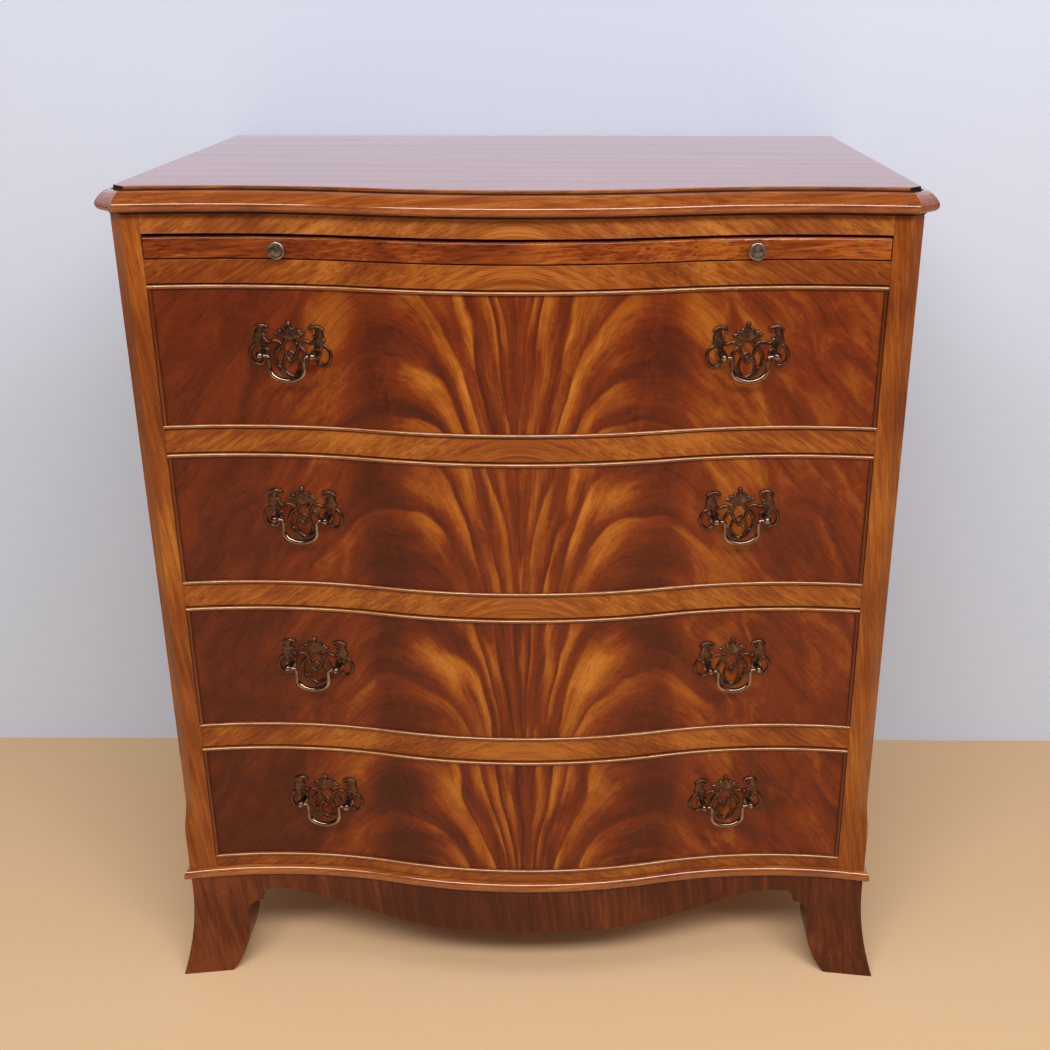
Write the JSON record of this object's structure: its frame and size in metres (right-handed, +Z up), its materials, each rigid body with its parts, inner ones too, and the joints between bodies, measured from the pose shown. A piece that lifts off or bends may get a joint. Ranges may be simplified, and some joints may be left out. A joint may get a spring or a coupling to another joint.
{
  "type": "serpentine chest of drawers",
  "caption": "Serpentine-front chest of drawers with a pull-out brushing slide, cock-beaded drawers, pierced bail handles, canted corner posts, shaped apron and splayed bracket feet.",
  "frame": {"origin": "floor level, at the centre of the overall width and depth", "axes": "+X to the right seen from the front, +Y towards the back, +Z up"},
  "size_m": [0.72, 0.495, 0.8],
  "materials": {
    "case_mahogany": "french polished",
    "flame_mahogany": "french polished",
    "drawer_lining": "planed, waxed",
    "pale_softwood": "planed, unfinished",
    "aged_bronze": "antiqued and lacquered"
  },
  "bodies": {
    "carcase": {"top_board": "case_mahogany", "top_edge_moulding": "case_mahogany", "left_side_panel": "case_mahogany", "right_side_panel": "case_mahogany", "left_corner_post": "case_mahogany", "right_corner_post": "case_mahogany", "top_rail": "case_mahogany", "slide_rail": "case_mahogany", "drawer_rails": "case_mahogany", "bottom_rail": "case_mahogany", "back_panel": "pale_softwood", "base_board": "pale_softwood", "drawer_runners": "pale_softwood", "slide_bearers": "pale_softwood", "drawer_stops": "pale_softwood", "base_moulding": "case_mahogany", "front_apron": "case_mahogany", "front_feet": "case_mahogany", "rear_feet": "case_mahogany", "side_aprons": "case_mahogany", "glue_blocks": "pale_softwood"},
    "brushing_slide": {"slide_board": "case_mahogany", "slide_front_edge": "case_mahogany", "slide_knobs": "aged_bronze"},
    "drawer_1": {"drawer_1_front": "flame_mahogany", "drawer_1_cock_bead": "case_mahogany", "drawer_1_sides": "drawer_lining", "drawer_1_back": "drawer_lining", "drawer_1_bottom": "drawer_lining", "drawer_1_handle_plates": "aged_bronze", "drawer_1_handle_posts": "aged_bronze"},
    "drawer_1_left_handle": {"drawer_1_left_bail": "aged_bronze"},
    "drawer_1_right_handle": {"drawer_1_right_bail": "aged_bronze"},
    "drawer_2": {"drawer_2_front": "flame_mahogany", "drawer_2_cock_bead": "case_mahogany", "drawer_2_sides": "drawer_lining", "drawer_2_back": "drawer_lining", "drawer_2_bottom": "drawer_lining", "drawer_2_handle_plates": "aged_bronze", "drawer_2_handle_posts": "aged_bronze"},
    "drawer_2_left_handle": {"drawer_2_left_bail": "aged_bronze"},
    "drawer_2_right_handle": {"drawer_2_right_bail": "aged_bronze"},
    "drawer_3": {"drawer_3_front": "flame_mahogany", "drawer_3_cock_bead": "case_mahogany", "drawer_3_sides": "drawer_lining", "drawer_3_back": "drawer_lining", "drawer_3_bottom": "drawer_lining", "drawer_3_handle_plates": "aged_bronze", "drawer_3_handle_posts": "aged_bronze"},
    "drawer_3_left_handle": {"drawer_3_left_bail": "aged_bronze"},
    "drawer_3_right_handle": {"drawer_3_right_bail": "aged_bronze"},
    "drawer_4": {"drawer_4_front": "flame_mahogany", "drawer_4_cock_bead": "case_mahogany", "drawer_4_sides": "drawer_lining", "drawer_4_back": "drawer_lining", "drawer_4_bottom": "drawer_lining", "drawer_4_handle_plates": "aged_bronze", "drawer_4_handle_posts": "aged_bronze"},
    "drawer_4_left_handle": {"drawer_4_left_bail": "aged_bronze"},
    "drawer_4_right_handle": {"drawer_4_right_bail": "aged_bronze"}
  },
  "joints": [
    {"name": "slide_pull", "type": "slide", "parent": "carcase", "child": "brushing_slide", "axis": [0, -1, 0], "range_m": [0, 0.25]},
    {"name": "drawer_1_pull", "type": "slide", "parent": "carcase", "child": "drawer_1", "axis": [0, -1, 0], "range_m": [0, 0.3]},
    {"name": "drawer_1_left_bail_swing", "type": "hinge", "parent": "drawer_1", "child": "drawer_1_left_handle", "pos_m": [-0.20058, -0.22251, 0.6593], "axis": [-0.9951, 0.0987, 0], "range_deg": [-25, 180]},
    {"name": "drawer_1_right_bail_swing", "type": "hinge", "parent": "drawer_1", "child": "drawer_1_right_handle", "pos_m": [0.20058, -0.22251, 0.6593], "axis": [-0.9951, -0.0987, 0], "range_deg": [-25, 180]},
    {"name": "drawer_2_pull", "type": "slide", "parent": "carcase", "child": "drawer_2", "axis": [0, -1, 0], "range_m": [0, 0.3]},
    {"name": "drawer_2_left_bail_swing", "type": "hinge", "parent": "drawer_2", "child": "drawer_2_left_handle", "pos_m": [-0.20058, -0.22251, 0.5078], "axis": [-0.9951, 0.0987, 0], "range_deg": [-25, 180]},
    {"name": "drawer_2_right_bail_swing", "type": "hinge", "parent": "drawer_2", "child": "drawer_2_right_handle", "pos_m": [0.20058, -0.22251, 0.5078], "axis": [-0.9951, -0.0987, 0], "range_deg": [-25, 180]},
    {"name": "drawer_3_pull", "type": "slide", "parent": "carcase", "child": "drawer_3", "axis": [0, -1, 0], "range_m": [0, 0.3]},
    {"name": "drawer_3_left_bail_swing", "type": "hinge", "parent": "drawer_3", "child": "drawer_3_left_handle", "pos_m": [-0.20058, -0.22251, 0.3563], "axis": [-0.9951, 0.0987, 0], "range_deg": [-25, 180]},
    {"name": "drawer_3_right_bail_swing", "type": "hinge", "parent": "drawer_3", "child": "drawer_3_right_handle", "pos_m": [0.20058, -0.22251, 0.3563], "axis": [-0.9951, -0.0987, 0], "range_deg": [-25, 180]},
    {"name": "drawer_4_pull", "type": "slide", "parent": "carcase", "child": "drawer_4", "axis": [0, -1, 0], "range_m": [0, 0.3]},
    {"name": "drawer_4_left_bail_swing", "type": "hinge", "parent": "drawer_4", "child": "drawer_4_left_handle", "pos_m": [-0.20058, -0.22251, 0.2048], "axis": [-0.9951, 0.0987, 0], "range_deg": [-25, 180]},
    {"name": "drawer_4_right_bail_swing", "type": "hinge", "parent": "drawer_4", "child": "drawer_4_right_handle", "pos_m": [0.20058, -0.22251, 0.2048], "axis": [-0.9951, -0.0987, 0], "range_deg": [-25, 180]}
  ]
}
